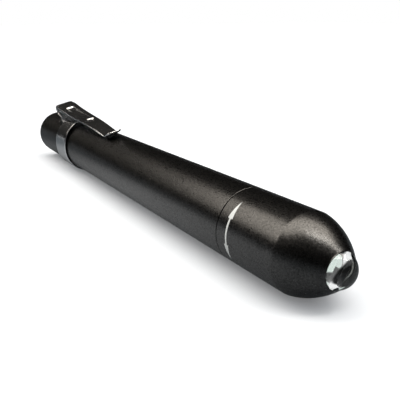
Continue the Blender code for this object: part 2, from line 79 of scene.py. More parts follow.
studio = {
    "floorHalf": 3.0,
    "floorColour": (0.56, 0.59, 0.63, 1.0),
    "farColour": (0.07, 0.08, 0.09, 1.0),
    "floorGlow": 0.13,
    "whiteReach": (0.20, 0.50),
    "glossGlow": 0.05,
    "brightSpot": (0.0, -0.02, 0.0),
    "brightReach": (0.0, 0.105),
    "glossShare": 0.55,
    "dimLevel": 0.008,
    "diffuseLevel": 0.80,
    "horizon": 0.012,
    "opening": (0.8818, -0.3563, 0.3090),
    "openingReach": (math.radians(22.0), math.radians(23.0)),
    "overhead": {"place": (-0.036, -0.005, 0.50), "size": (0.85, 0.32), "power": 3.3,
                 "colour": (1.0, 0.925, 0.83)},
    "strip": {"place": (0.305, 0.260, 0.49), "size": (0.80, 0.035), "power": 1.6,
              "colour": (1.0, 0.96, 0.90)},
    "side": {"place": (-0.625, -0.55, 0.50), "size": (1.0, 0.36), "power": 4.3,
             "colour": (1.0, 0.925, 0.83)},
}


# A plain number is set on the socket, and a node's output is linked to it.
def fillSocket(links, socket, value):
    if isinstance(value, (int, float)):
        socket.default_value = value
    else:
        links.new(value, socket)


def mathNode(nodes, links, operation, first, second):
    node = nodes.new("ShaderNodeMath")
    node.operation = operation
    for socket, value in zip(node.inputs, (first, second)):
        fillSocket(links, socket, value)
    return node.outputs[0]


# A map range node: the value goes from the first pair of limits to the second, evenly or by a
# smooth step.
def rangeNode(nodes, links, value, before, after, smooth=False):
    node = nodes.new("ShaderNodeMapRange")
    if smooth:
        node.interpolation_type = "SMOOTHSTEP"
    fillSocket(links, node.inputs["Value"], value)
    for label, limit in zip(("From Min", "From Max", "To Min", "To Max"), (*before, *after)):
        fillSocket(links, node.inputs[label], limit)
    return node.outputs["Result"]


# A square of floor under the light, seen white by the camera and through glass, the whiter the
# farther away. Gloss sees it round the bright spot, fading to the dark far table by a smooth
# step of the distance.
def makeFloor():
    half = studio["floorHalf"]
    mesh = bpy.data.meshes.new("floor")
    mesh.from_pydata([(-half, -half, 0), (half, -half, 0), (half, half, 0), (-half, half, 0)],
                     [], [(0, 1, 2, 3)])
    floor = bpy.data.objects.new("floor", mesh)
    bpy.context.scene.collection.objects.link(floor)
    look = bpy.data.materials.new("whiteFloor")
    look.use_nodes = True
    nodes, links = look.node_tree.nodes, look.node_tree.links
    shader = nodes["Principled BSDF"]
    shader.inputs["Roughness"].default_value = 1.0
    shader.inputs["Specular IOR Level"].default_value = 0.0
    shader.inputs["Emission Color"].default_value = (1.0, 1.0, 1.0, 1.0)
    path = nodes.new("ShaderNodeLightPath")
    place = nodes.new("ShaderNodeTexCoord")
    distance = nodes.new("ShaderNodeVectorMath")
    distance.operation = "DISTANCE"
    distance.inputs[1].default_value = studio["brightSpot"]
    links.new(place.outputs["Object"], distance.inputs[0])
    fade = rangeNode(nodes, links, distance.outputs["Value"], studio["brightReach"],
                     (studio["glossShare"], 0.0), smooth=True)
    clear = mathNode(nodes, links, "MAXIMUM", path.outputs["Is Camera Ray"],
                     path.outputs["Is Transmission Ray"])
    bright = mathNode(nodes, links, "MAXIMUM", clear, fade)
    colour = nodes.new("ShaderNodeMix")
    colour.data_type = "RGBA"
    colour.inputs["A"].default_value = studio["farColour"]
    colour.inputs["B"].default_value = studio["floorColour"]
    links.new(bright, colour.inputs["Factor"])
    links.new(colour.outputs["Result"], shader.inputs["Base Color"])
    faded = mathNode(nodes, links, "MULTIPLY", path.outputs["Is Glossy Ray"], fade)
    toGloss = mathNode(nodes, links, "MULTIPLY", faded, studio["glossGlow"])
    whiten = rangeNode(nodes, links, distance.outputs["Value"], studio["whiteReach"],
                       (studio["floorGlow"], 1.0), smooth=True)
    toClear = mathNode(nodes, links, "MULTIPLY", clear, whiten)
    glow = mathNode(nodes, links, "MAXIMUM", toClear, toGloss)
    links.new(glow, shader.inputs["Emission Strength"])
    mesh.materials.append(look)


# The world is white to the camera, to gloss near the horizon, and to glass all round but for
# the dark opening, which doesn't darken what lies inside the glass; it lights matt surfaces
# evenly, and elsewhere it is dim.
def makeWorld():
    world = bpy.data.worlds.new("studio")
    world.use_nodes = True
    bpy.context.scene.world = world
    nodes, links = world.node_tree.nodes, world.node_tree.links
    background = nodes["Background"]
    background.inputs["Color"].default_value = (1.0, 1.0, 1.0, 1.0)
    path = nodes.new("ShaderNodeLightPath")
    direction = nodes.new("ShaderNodeTexCoord")
    split = nodes.new("ShaderNodeSeparateXYZ")
    links.new(direction.outputs["Generated"], split.inputs[0])
    low = rangeNode(nodes, links, split.outputs["Z"], (0.0, studio["horizon"]), (1.0, 0.0),
                    smooth=True)
    toGloss = mathNode(nodes, links, "MULTIPLY", path.outputs["Is Glossy Ray"], low)
    towards = nodes.new("ShaderNodeVectorMath")
    towards.operation = "DOT_PRODUCT"
    towards.inputs[1].default_value = studio["opening"]
    links.new(direction.outputs["Generated"], towards.inputs[0])
    nearest, farthest = studio["openingReach"]
    wall = rangeNode(nodes, links, towards.outputs["Value"],
                     (math.cos(farthest), math.cos(nearest)), (1.0, 0.0), smooth=True)
    lit = mathNode(nodes, links, "MAXIMUM", path.outputs["Diffuse Depth"], wall)
    toGlass = mathNode(nodes, links, "MULTIPLY", path.outputs["Is Transmission Ray"], lit)
    toShiny = mathNode(nodes, links, "MAXIMUM", toGloss, toGlass)
    toMatt = mathNode(nodes, links, "MULTIPLY", path.outputs["Is Diffuse Ray"],
                      studio["diffuseLevel"])
    toAny = mathNode(nodes, links, "MAXIMUM", toShiny, toMatt)
    white = mathNode(nodes, links, "MAXIMUM", path.outputs["Is Camera Ray"], toAny)
    level = rangeNode(nodes, links, white, (0.0, 1.0), (studio["dimLevel"], 1.0))
    links.new(level, background.inputs["Strength"])


# A softbox faces straight down, its long side across the camera's view.
def makeSoftbox(name):
    setting = studio[name]
    lamp = bpy.data.lights.new(name, "AREA")
    lamp.shape = "RECTANGLE"
    lamp.size, lamp.size_y = setting["size"]
    lamp.energy = setting["power"]
    lamp.color = setting["colour"]
    box = bpy.data.objects.new(name, lamp)
    bpy.context.scene.collection.objects.link(box)
    box.location = setting["place"]
    box.rotation_euler = (0, 0, math.atan2(camera["right"][1], camera["right"][0]))


makeFloor()
makeWorld()
makeSoftbox("overhead")
makeSoftbox("strip")
makeSoftbox("side")
print("camera and studio made")


# Effects that more than one material uses

grainSetting = {
    "fineDetail": 2.0,
    "fineRoughness": 0.65,
    "stretch": (0.32, 0.68),
    "cloudScale": 0.12,
    "cloudDetail": 3.0,
    "cloudShare": 0.3,
}
markSetting = {"detail": 2.0, "unevenness": 1.5, "relief": 0.000004}


# A node group with its own sockets: pairs of a label and a socket type.
def newGroup(name, inputs, outputs):
    group = bpy.data.node_groups.new(name, "ShaderNodeTree")
    for label, kind in inputs:
        group.interface.new_socket(label, in_out="INPUT", socket_type=kind)
    for label, kind in outputs:
        group.interface.new_socket(label, in_out="OUTPUT", socket_type=kind)
    return group, group.nodes.new("NodeGroupInput"), group.nodes.new("NodeGroupOutput")


# Grain: a fine noise, stretched to full contrast, is mixed with a broad one by the cloud share.
# The result mixes the two colours and the two roughnesses; the fine noise alone is the relief.
def makeGrainGroup():
    group, given, result = newGroup("fineGrain", [
        ("Vector", "NodeSocketVector"),
        ("Grains per Metre", "NodeSocketFloat"),
        ("Dark", "NodeSocketColor"),
        ("Light", "NodeSocketColor"),
        ("Smooth", "NodeSocketFloat"),
        ("Rough", "NodeSocketFloat"),
    ], [("Colour", "NodeSocketColor"), ("Roughness", "NodeSocketFloat"),
        ("Height", "NodeSocketFloat")])
    nodes, links = group.nodes, group.links
    fine = nodes.new("ShaderNodeTexNoise")
    fine.inputs["Detail"].default_value = grainSetting["fineDetail"]
    fine.inputs["Roughness"].default_value = grainSetting["fineRoughness"]
    links.new(given.outputs["Vector"], fine.inputs["Vector"])
    links.new(given.outputs["Grains per Metre"], fine.inputs["Scale"])
    spread = rangeNode(nodes, links, fine.outputs["Fac"], grainSetting["stretch"], (0.0, 1.0))
    cloud = nodes.new("ShaderNodeTexNoise")
    cloud.inputs["Detail"].default_value = grainSetting["cloudDetail"]
    links.new(given.outputs["Vector"], cloud.inputs["Vector"])
    links.new(mathNode(nodes, links, "MULTIPLY", given.outputs["Grains per Metre"],
                       grainSetting["cloudScale"]), cloud.inputs["Scale"])
    blend = nodes.new("ShaderNodeMix")
    blend.inputs["Factor"].default_value = grainSetting["cloudShare"]
    links.new(spread, blend.inputs["A"])
    links.new(cloud.outputs["Fac"], blend.inputs["B"])
    colour = nodes.new("ShaderNodeMix")
    colour.data_type = "RGBA"
    links.new(blend.outputs["Result"], colour.inputs["Factor"])
    links.new(given.outputs["Dark"], colour.inputs["A"])
    links.new(given.outputs["Light"], colour.inputs["B"])
    links.new(colour.outputs["Result"], result.inputs["Colour"])
    roughness = rangeNode(nodes, links, blend.outputs["Result"], (0.0, 1.0),
                          (given.outputs["Smooth"], given.outputs["Rough"]))
    links.new(roughness, result.inputs["Roughness"])
    links.new(spread, result.inputs["Height"])
    return group


# Tool marks: a wave of the distance from the light's axis plus a wave of the place along it.
def makeToolMarkGroup():
    group, given, result = newGroup("toolMarks", [
        ("Vector", "NodeSocketVector"),
        ("Marks per Metre", "NodeSocketFloat"),
    ], [("Height", "NodeSocketFloat")])
    nodes, links = group.nodes, group.links
    rings = nodes.new("ShaderNodeTexWave")
    rings.wave_type = "RINGS"
    rings.rings_direction = "X"
    bands = nodes.new("ShaderNodeTexWave")
    bands.wave_type = "BANDS"
    bands.bands_direction = "X"
    for wave in (rings, bands):
        wave.inputs["Detail"].default_value = markSetting["detail"]
        wave.inputs["Distortion"].default_value = markSetting["unevenness"]
        links.new(given.outputs["Vector"], wave.inputs["Vector"])
        links.new(given.outputs["Marks per Metre"], wave.inputs["Scale"])
    both = mathNode(nodes, links, "ADD", rings.outputs["Fac"], bands.outputs["Fac"])
    links.new(both, result.inputs["Height"])
    return group


fineGrain = makeGrainGroup()
toolMarks = makeToolMarkGroup()


# A material whose colour, roughness and relief come from the grain, with tool marks if asked.
def grainedLook(name, dark, pale, smooth, rough, grains, metallic=0.0, relief=0.000004,
                marks=0.0, **plain):
    look = bpy.data.materials.new(name)
    look.use_nodes = True
    nodes, links = look.node_tree.nodes, look.node_tree.links
    shader = nodes["Principled BSDF"]
    shader.inputs["Metallic"].default_value = metallic
    for label, value in plain.items():
        shader.inputs[label.replace("_", " ")].default_value = value
    place = nodes.new("ShaderNodeTexCoord")
    grain = nodes.new("ShaderNodeGroup")
    grain.node_tree = fineGrain
    for label, value in (("Grains per Metre", grains), ("Dark", (*dark, 1.0)),
                         ("Light", (*pale, 1.0)), ("Smooth", smooth), ("Rough", rough)):
        grain.inputs[label].default_value = value
    links.new(place.outputs["Object"], grain.inputs["Vector"])
    links.new(grain.outputs["Colour"], shader.inputs["Base Color"])
    links.new(grain.outputs["Roughness"], shader.inputs["Roughness"])
    bump = nodes.new("ShaderNodeBump")
    bump.inputs["Distance"].default_value = relief
    links.new(grain.outputs["Height"], bump.inputs["Height"])
    last = bump
    if marks:
        centre = nodes.new("ShaderNodeMapping")
        centre.inputs["Location"].default_value = (0.0, 0.0, -light["axisHeight"])
        marking = nodes.new("ShaderNodeGroup")
        marking.node_tree = toolMarks
        marking.inputs["Marks per Metre"].default_value = marks
        second = nodes.new("ShaderNodeBump")
        second.inputs["Distance"].default_value = markSetting["relief"]
        links.new(place.outputs["Object"], centre.inputs["Vector"])
        links.new(centre.outputs["Vector"], marking.inputs["Vector"])
        links.new(marking.outputs["Height"], second.inputs["Height"])
        links.new(bump.outputs["Normal"], second.inputs["Normal"])
        last = second
    links.new(last.outputs["Normal"], shader.inputs["Normal"])
    return look


looks = {
    "blackAnodised": grainedLook("blackAnodised", (0.034, 0.0338, 0.0335), (0.122, 0.121, 0.119),
                                 0.25, 0.33, metallic=1.0, grains=3400, relief=0.000005),
    "clipSteel": grainedLook("clipSteel", (0.64, 0.65, 0.66), (0.74, 0.75, 0.76), 0.16, 0.22,
                             metallic=1.0, grains=5000, relief=0.0000002),
    "arrowPaint": grainedLook("arrowPaint", (0.54, 0.56, 0.55), (0.62, 0.64, 0.63), 0.45, 0.60,
                              grains=6000, relief=0.000003),
    "springWire": grainedLook("springWire", (0.50, 0.50, 0.49), (0.66, 0.66, 0.64), 0.18, 0.30,
                              metallic=1.0, grains=3000, relief=0.000002),
    "cellCan": grainedLook("cellCan", (0.58, 0.57, 0.55), (0.72, 0.71, 0.68), 0.25, 0.38,
                           metallic=1.0, grains=1500, relief=0.000002),
    "cellSleeve": grainedLook("cellSleeve", (0.05, 0.11, 0.22), (0.07, 0.15, 0.29), 0.25, 0.38,
                              grains=1200, relief=0.000004),
    "blackRubber": grainedLook("blackRubber", (0.012, 0.012, 0.012), (0.03, 0.03, 0.03), 0.55,
                               0.75, grains=4000, relief=0.000006),
    "whitePlastic": grainedLook("whitePlastic", (0.76, 0.76, 0.73), (0.84, 0.84, 0.82), 0.35,
                                0.48, grains=3000, relief=0.000003),
    # painted light: the seat's pale rubber glows though it is no lamp
    "paintedGlowRubber": grainedLook("paintedGlowRubber", (0.66, 0.74, 0.70), (0.76, 0.84, 0.79), 0.5, 0.65,
                              grains=3000, relief=0.000003,
                              Emission_Color=(0.90, 1.0, 0.95, 1.0), Emission_Strength=0.6),
    "whiteBoard": grainedLook("whiteBoard", (0.72, 0.72, 0.70), (0.82, 0.82, 0.80), 0.35, 0.5,
                              grains=2500, relief=0.000003),
    "ledCeramic": grainedLook("ledCeramic", (0.74, 0.74, 0.71), (0.82, 0.82, 0.80), 0.45, 0.6,
                              grains=4000, relief=0.000003),
    "ledPhosphor": grainedLook("ledPhosphor", (0.80, 0.62, 0.07), (0.88, 0.74, 0.16), 0.15,
                               0.3, grains=6000, relief=0.000002),
    "bareAluminium": grainedLook("bareAluminium", (0.62, 0.62, 0.62), (0.74, 0.74, 0.74), 0.28,
                                 0.42, metallic=1.0, grains=2500, marks=900),
    "tinnedCopper": grainedLook("tinnedCopper", (0.66, 0.54, 0.43), (0.80, 0.68, 0.56), 0.22,
                                0.36, metallic=1.0, grains=4000),
    "greenBoard": grainedLook("greenBoard", (0.02, 0.16, 0.055), (0.035, 0.24, 0.09), 0.3,
                              0.45, grains=2500),
    "blackPlastic": grainedLook("blackPlastic", (0.018, 0.018, 0.018), (0.04, 0.04, 0.04),
                                0.4, 0.55, grains=4500),
    "brass": grainedLook("brass", (0.66, 0.47, 0.19), (0.80, 0.61, 0.29), 0.22, 0.36,
                         metallic=1.0, grains=2500, marks=1100),
    "fibreWasher": grainedLook("fibreWasher", (0.08, 0.06, 0.045), (0.16, 0.12, 0.09), 0.6,
                               0.85, grains=3500, relief=0.00001),
}


glass = {"tint": (0.97, 0.985, 0.98, 1.0), "bending": 1.49, "filmScale": 900.0,
         "filmRoughness": 0.03}


# Clear glass under an uneven film, whose noise sets a slight roughness; its shadow is clear.
def makeGlass():
    look = bpy.data.materials.new("clearGlass")
    look.use_nodes = True
    nodes, links = look.node_tree.nodes, look.node_tree.links
    shader = nodes["Principled BSDF"]
    shader.inputs["Base Color"].default_value = glass["tint"]
    shader.inputs["Metallic"].default_value = 0.0
    shader.inputs["IOR"].default_value = glass["bending"]
    shader.inputs["Transmission Weight"].default_value = 1.0
    place = nodes.new("ShaderNodeTexCoord")
    noise = nodes.new("ShaderNodeTexNoise")
    noise.inputs["Scale"].default_value = glass["filmScale"]
    links.new(place.outputs["Object"], noise.inputs["Vector"])
    film = rangeNode(nodes, links, noise.outputs["Fac"], (0.0, 1.0),
                     (0.0, glass["filmRoughness"]))
    links.new(film, shader.inputs["Roughness"])
    path = nodes.new("ShaderNodeLightPath")
    clear = nodes.new("ShaderNodeBsdfTransparent")
    either = nodes.new("ShaderNodeMixShader")
    links.new(path.outputs["Is Shadow Ray"], either.inputs[0])
    links.new(shader.outputs[0], either.inputs[1])
    links.new(clear.outputs[0], either.inputs[2])
    links.new(either.outputs[0], nodes["Material Output"].inputs["Surface"])
    return look


looks["clearGlass"] = makeGlass()
print("materials made:", len(looks))


# Shapes

shaping = {"crease": math.radians(35), "cornerSteps": 5, "cornerShare": 0.45}


# A new object with one material, smooth but for the edges that turn by more than the crease.
def addPiece(name, points, faces, look):
    mesh = bpy.data.meshes.new(name)
    mesh.from_pydata(points.tolist(), [], faces)
    mesh.shade_smooth()
    mesh.set_sharp_from_angle(angle=shaping["crease"])
    mesh.materials.append(look)
    piece = bpy.data.objects.new(name, mesh)
    bpy.context.scene.collection.objects.link(piece)
    return piece


# A thin plate between two equal grids of points, the upper with its faces outward, closed by a
# wall round the rim.
def plate(name, upper, lower, look):
    rows, columns = upper.shape[:2]
    below = rows * columns
    index = np.arange(below).reshape(rows, columns)
    top = np.stack([index[:-1, :-1], index[:-1, 1:], index[1:, 1:], index[1:, :-1]],
                   -1).reshape(-1, 4)
    bottom = top[:, [0, 3, 2, 1]] + below
    rim = np.concatenate([index[0, :-1], index[:-1, -1], index[-1, :0:-1], index[:0:-1, 0]])
    nextRim = np.roll(rim, -1)
    wall = np.stack([rim, rim + below, nextRim + below, nextRim], -1)
    points = np.concatenate([upper.reshape(-1, 3), lower.reshape(-1, 3)])
    return addPiece(name, points, np.concatenate([top, bottom, wall]).tolist(), look)


# Near side: at angle v up the side that faces the camera the point is
# (place, -radius cos v, radius sin v) about the light's axis.
def onNearSide(place, radius, angle):
    return np.stack([place + light["seamAt"], -radius * np.cos(angle),
                     radius * np.sin(angle) + light["axisHeight"]], -1)


# Softened corners: a corner P between points A and C on its two sides, each `reach` away or the
# corner's share of the side, becomes the curve (1-u)(1-u) A + 2u(1-u) P + u u C.
def softened(points, reach):
    points = np.asarray(points, float)
    before, here, after = points[:-2], points[1:-1], points[2:]
    toBefore, toAfter = before - here, after - here
    lengthBefore = np.linalg.norm(toBefore, axis=1, keepdims=True)
    lengthAfter = np.linalg.norm(toAfter, axis=1, keepdims=True)
    most = shaping["cornerShare"]
    start = here + toBefore / lengthBefore * np.minimum(reach, most * lengthBefore)
    end = here + toAfter / lengthAfter * np.minimum(reach, most * lengthAfter)
    u = np.linspace(0, 1, shaping["cornerSteps"])[None, :, None]
    curves = ((1 - u) ** 2 * start[:, None] + 2 * u * (1 - u) * here[:, None]
              + u ** 2 * end[:, None])
    return np.vstack([points[:1], curves.reshape(-1, 2), points[-1:]])


# A turned piece: at profile row i and angle v the point is (place, radius cos v, radius sin v)
# about the light's axis. relief(place, radius, angle) may add to the radius.
def turned(name, profile, look, sides, closed=False, relief=None):
    radius, place = np.asarray(profile, float).T
    rows = len(radius)
    angle = 2 * np.pi * np.arange(sides) / sides
    wide = np.repeat(radius[:, None], sides, 1)
    along = np.repeat(place[:, None], sides, 1)
    around = np.repeat(angle[None, :], rows, 0)
    if relief is not None:
        wide = wide + relief(along, wide, around)
    grid = np.stack([along + light["seamAt"], wide * np.cos(around),
                     wide * np.sin(around) + light["axisHeight"]], -1)
    pole = radius == 0
    counts = np.where(pole, 1, sides)
    starts = np.concatenate([[0], np.cumsum(counts)[:-1]])
    kept = (~pole[:, None]) | (np.arange(sides)[None, :] == 0)
    points = grid[kept]
    index = starts[:, None] + np.where(pole[:, None], 0, np.arange(sides)[None, :])
    if closed:
        index = np.vstack([index, index[:1]])
        pole = np.append(pole, pole[0])
    following = np.roll(index, -1, 1)
    quads = np.stack([index[:-1], index[1:], following[1:], following[:-1]], -1)
    plain = ~(pole[:-1] | pole[1:])
    faces = quads[plain].reshape(-1, 4).tolist()
    faces += quads[pole[:-1]][..., [0, 1, 2]].reshape(-1, 3).tolist()
    faces += quads[pole[1:]][..., [0, 1, 3]].reshape(-1, 3).tolist()
    return addPiece(name, points, faces, look)


# Smooth step: v v (3 - 2 v) for v held between 0 and 1.
def smoothStep(value):
    value = np.clip(value, 0.0, 1.0)
    return value * value * (3 - 2 * value)


# Head

head = {
    "radius": 0.0073842,
    "seamRadius": 0.0073,
    "length": 0.0155,
    "noseReach": 0.00994,
    "nosePower": 1.5,
    "creaseDrop": 0.00005,
    "creaseLength": 0.0006,
    "edge": 0.00012,
    "gap": 0.0002,
    "mouthAt": 0.02340,
    "lensFit": 0.00015,
    "sleeveBore": 0.0065,
    "sleeveEnd": 0.0074,
    "pillBore": 0.0059,
    "pillBoreEnd": 0.0166,
    "flangeBore": 0.0046,
    "flangeBoreEnd": 0.0209,
    "lensBore": 0.00337,
    "innerCorner": 0.00006,
    "lipStop": 0.00002,
    "noseRows": 110,
    "noseCrowding": 1.3,
    "sideRows": 40,
    "lipRows": 14,
    "sides": 224,
}


# Nose: radius = R (1 - (p / reach)^1.5)^(1/1.5) for p counted from the crease, less a small
# drop that grows as 1 - e^(-p / length), which gives the crease its edge.
def noseRadius(place):
    past = np.maximum(place - head["length"], 0.0)
    curve = (1 - (past / head["noseReach"]) ** head["nosePower"]) ** (1 / head["nosePower"])
    return head["radius"] * curve - head["creaseDrop"] * (1 - np.exp(-past / head["creaseLength"]))


# Mouth: the ball's own circle past its widest place, plus the fit.
def mouthRadius(place):
    beyond = np.maximum(place - ball["centre"], 0.0)
    return np.sqrt(ball["radius"] ** 2 - beyond ** 2) + head["lensFit"]


# Head: the nose, whose rows crowd towards the mouth, the side, which narrows evenly to the seam,
# the stepped bore and the mouth's lip.
def makeHead():
    gap = head["gap"] / 2
    share = np.linspace(0, 1, head["noseRows"]) ** head["noseCrowding"]
    nosePlace = head["mouthAt"] - (head["mouthAt"] - head["length"]) * share
    nose = np.stack([noseRadius(nosePlace), nosePlace], -1)
    side = np.linspace(0, 1, head["sideRows"])[1:]
    body = np.stack([head["radius"] + (head["seamRadius"] - head["radius"]) * side,
                     head["length"] + (gap + head["edge"] - head["length"]) * side], -1)
    inner = softened([
        body[-1],
        (head["seamRadius"], gap),
        (head["sleeveBore"], gap),
        (head["sleeveBore"], head["sleeveEnd"]),
        (head["pillBore"], head["sleeveEnd"]),
        (head["pillBore"], head["pillBoreEnd"]),
        (head["flangeBore"], head["pillBoreEnd"]),
        (head["flangeBore"], head["flangeBoreEnd"]),
        (head["lensBore"], head["flangeBoreEnd"]),
        (head["lensBore"], ball["centre"]),
    ], head["innerCorner"])[1:]
    lipPlace = np.linspace(ball["centre"], head["mouthAt"] - head["lipStop"],
                           head["lipRows"])[1:]
    lip = np.stack([mouthRadius(lipPlace), lipPlace], -1)
    profile = np.vstack([nose, body, inner, lip])
    piece = turned("penlightHead", profile, looks["blackAnodised"], head["sides"], closed=True)
    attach(piece, "head")
    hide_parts("head_shell")


# Tube

tube = {
    "length": 0.1064,
    "tailRadius": 0.00662,
    "tailRounding": 0.0005,
    "bore": 0.0055,
    "tailWall": 0.005,
    "neckRadius": 0.0062,
    "neckLength": 0.0056,
    "neckChamfer": 0.0003,
    "grooveAt": 0.0012,
    "grooveWidth": 0.0009,
    "grooveDepth": 0.00035,
    "threadPitch": 0.00075,
    "threadCrest": 0.00013,
    "threadRoot": 0.00012,
    "threadFlatness": 1.6,
    "threadStart": 0.0002,
    "threadStop": 0.0001,
    "threadFade": 0.0003,
    "threadChamfers": 1.2,
    "threadMargin": 0.0001,
    "threadRows": 90,
    "neckSlack": 0.00001,
    "boreCorner": 0.00005,
    "neckCorner": 0.00013,
    "grooveEdge": 0.00008,
    "sideRows": 60,
    "cornerRows": 14,
    "faceRows": 8,
    "sides": 192,
}


# Thread: the height is the cosine of place / pitch less angle / turn, cut flat at crest and
# root, and it runs out at both ends of the neck.
def threadRelief(place, radius, angle):
    start = tube["grooveAt"] + tube["grooveWidth"] / 2 + tube["threadStart"]
    end = tube["neckLength"] - tube["neckChamfer"] - tube["threadStop"]
    turn = place / tube["threadPitch"] - angle / (2 * np.pi)
    wave = np.clip(tube["threadFlatness"] * np.cos(2 * np.pi * turn), -1, 1)
    height = np.where(wave > 0, tube["threadCrest"], tube["threadRoot"]) * wave
    fade = (smoothStep((place - start) / tube["threadFade"])
            * smoothStep((end - place) / tube["threadFade"]))
    onNeck = (radius > tube["neckRadius"] - tube["neckSlack"]) & (place > start)
    return np.where(onNeck, height * fade, 0.0)


# Tube: the bore, the neck with its thread and groove, the side, which narrows evenly to the
# tail, a quarter circle at its corner and the flat tail.
def makeTube():
    gap = head["gap"] / 2
    tail = -tube["length"]
    neckEnd = tube["neckLength"]
    grooveFront = tube["grooveAt"] + tube["grooveWidth"] / 2
    grooveBack = tube["grooveAt"] - tube["grooveWidth"] / 2
    groove = tube["neckRadius"] - tube["grooveDepth"]
    bore = softened([
        (0, tail + tube["tailWall"]),
        (tube["bore"], tail + tube["tailWall"]),
        (tube["bore"], neckEnd),
        (tube["neckRadius"] - tube["neckChamfer"], neckEnd),
        (tube["neckRadius"], neckEnd - tube["neckChamfer"]),
        (tube["neckRadius"], neckEnd - 2 * tube["neckChamfer"]),
    ], tube["boreCorner"])
    threadPlace = np.linspace(neckEnd - tube["neckChamfer"] * tube["threadChamfers"],
                              grooveFront + tube["threadMargin"], tube["threadRows"])
    thread = np.stack([np.full(tube["threadRows"], tube["neckRadius"]), threadPlace], -1)
    front = softened([
        (tube["neckRadius"], grooveFront + tube["grooveEdge"]),
        (tube["neckRadius"], grooveFront),
        (groove, grooveFront),
        (groove, grooveBack),
        (tube["neckRadius"], grooveBack),
        (tube["neckRadius"], -gap),
        (head["seamRadius"], -gap),
        (head["seamRadius"], -gap - 3 * head["edge"]),
    ], tube["neckCorner"])[:-1]
    share = np.linspace(0, 1, tube["sideRows"])
    sideStart, sideEnd = -gap - 2 * head["edge"], tail + tube["tailRounding"]
    side = np.stack([head["seamRadius"] + (tube["tailRadius"] - head["seamRadius"]) * share,
                     sideStart + (sideEnd - sideStart) * share], -1)
    turn = np.radians(np.linspace(0, 90, tube["cornerRows"])[1:])
    corner = np.stack([tube["tailRadius"] - tube["tailRounding"] * (1 - np.cos(turn)),
                       tail + tube["tailRounding"] * (1 - np.sin(turn))], -1)
    faceRadius = np.linspace(corner[-1, 0], 0, tube["faceRows"])[1:]
    face = np.stack([faceRadius, np.full(len(faceRadius), tail)], -1)
    profile = np.vstack([bore[:-1], thread, front, side, corner, face])
    piece = turned("penlightTube", profile, looks["blackAnodised"], tube["sides"],
                   relief=threadRelief)
    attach(piece, "tube")
    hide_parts("barrel")


# Lens and what lies behind it

ball = {
    "radius": 0.00331,
    "centre": 0.02237,
    "flangeRadius": 0.0043,
    "flangeBack": 0.0189,
    "flangeFront": 0.0201,
    "rows": 48,
    "sides": 128,
}


# Lens: half a ball on a short straight rod, with a sharp flange at its foot.
def makeLens():
    turn = np.radians(np.linspace(90, 0, ball["rows"]))
    cap = np.stack([ball["radius"] * np.cos(turn), ball["centre"] + ball["radius"] * np.sin(turn)],
                   -1)
    cap[0, 0] = 0.0
    foot = [
        (ball["radius"], ball["flangeFront"]),
        (ball["flangeRadius"], ball["flangeFront"]),
        (ball["flangeRadius"], ball["flangeBack"]),
        (0, ball["flangeBack"]),
    ]
    piece = turned("ballLens", np.vstack([cap, foot]), looks["clearGlass"], ball["sides"])
    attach(piece, "head")
    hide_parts("lens")


seat = {
    "back": 0.0184,
    "front": 0.0200,
    "inner": 0.0044,
    "outer": 0.00456,
    "cutAt": (0.0184, 0.01855, 0.01866, 0.01915, 0.0200),
    "cutAngle": np.radians((-151.0, -149.6, -149.2, -146.9, -146.8)),
    "end": math.radians(-490.0),
    "joint": math.radians(0.3),
    "rows": 121,
    "columns": 9,
}


# Seat: a ring round the lens's flange in two parts, a pale one and a short black one. The pale
# one glows though it is no lamp: painted light, standing in for the light that the lens gathers
# onto its inside; the black one is where that painted light ends. Each runs from its first angle
# to its last by an even share; the joint between them is cut at a slant.
def makeSeat(name, first, last, look):
    place = np.linspace(seat["back"], seat["front"], seat["columns"])
    first = np.interp(place, seat["cutAt"], first)
    last = np.interp(place, seat["cutAt"], last)
    share = np.linspace(0, 1, seat["rows"])[:, None]
    angle = first + (last - first) * share
    along = place + 0 * angle
    piece = plate(name, onNearSide(along, seat["outer"], angle),
                  onNearSide(along, seat["inner"], angle), looks[look])
    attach(piece, "head")


stop = {
    "front": 0.01878,
    "back": 0.01862,
    "hole": 0.0013,
    "outer": 0.00425,
    "corner": 0.00003,
    "rim": (0.00150, 0.00153),
    "rimFront": 0.01882,
    "rimSunk": 0.00002,
    "rimCorner": 0.00001,
    "sides": 96,
}


# Square relief: radius (1 / max(|cos angle|, |sin angle|) - 1) turns a ring into a square frame.
def squareRelief(place, radius, angle):
    return radius * (1 / np.maximum(np.abs(np.cos(angle)), np.abs(np.sin(angle))) - 1)


# Stop: a black washer behind the lens with a thin white square frame standing on it; the
# frame's white is a painted highlight, standing in for the glint of a shiny edge seen through the
# lens.
def makeStop():
    disc = softened([
        (stop["hole"], (stop["front"] + stop["back"]) / 2),
        (stop["hole"], stop["back"]),
        (stop["outer"], stop["back"]),
        (stop["outer"], stop["front"]),
        (stop["hole"], stop["front"]),
        (stop["hole"], (stop["front"] + stop["back"]) / 2),
    ], stop["corner"])[:-1]
    inner, outer = stop["rim"]
    rimBack = stop["front"] - stop["rimSunk"]
    rim = softened([
        (inner, rimBack),
        (outer, rimBack),
        (outer, stop["rimFront"]),
        (inner, stop["rimFront"]),
        (inner, rimBack),
    ], stop["rimCorner"])[:-1]
    for name, profile, look, slot, relief in (
            ("lensStop", disc, "blackPlastic", "black_plastic", None),
            # the frame's white is a painted highlight for the glint of a shiny edge
            ("stopPaintedGlintRim", rim, "whitePlastic", "white_plastic", squareRelief)):
        piece = turned(name, profile, looks[look], stop["sides"], closed=True, relief=relief)
        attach(piece, "head")


makeHead()
makeTube()
makeLens()
seatCut = seat["cutAngle"]
seatEnd = np.full(len(seatCut), seat["end"])
# the pale part of the seat glows as painted light; the black part is where it ends
makeSeat("lensSeat", seatCut, seatEnd, "paintedGlowRubber")
makeSeat("lensSeatBlackPart", seatEnd + 2 * np.pi - seat["joint"], seatCut + seat["joint"],
         "blackRubber")
makeStop()
print("tube, head and lens made")


# Turning mark on the head: a curved arrow with two heads, a thin coat over the surface

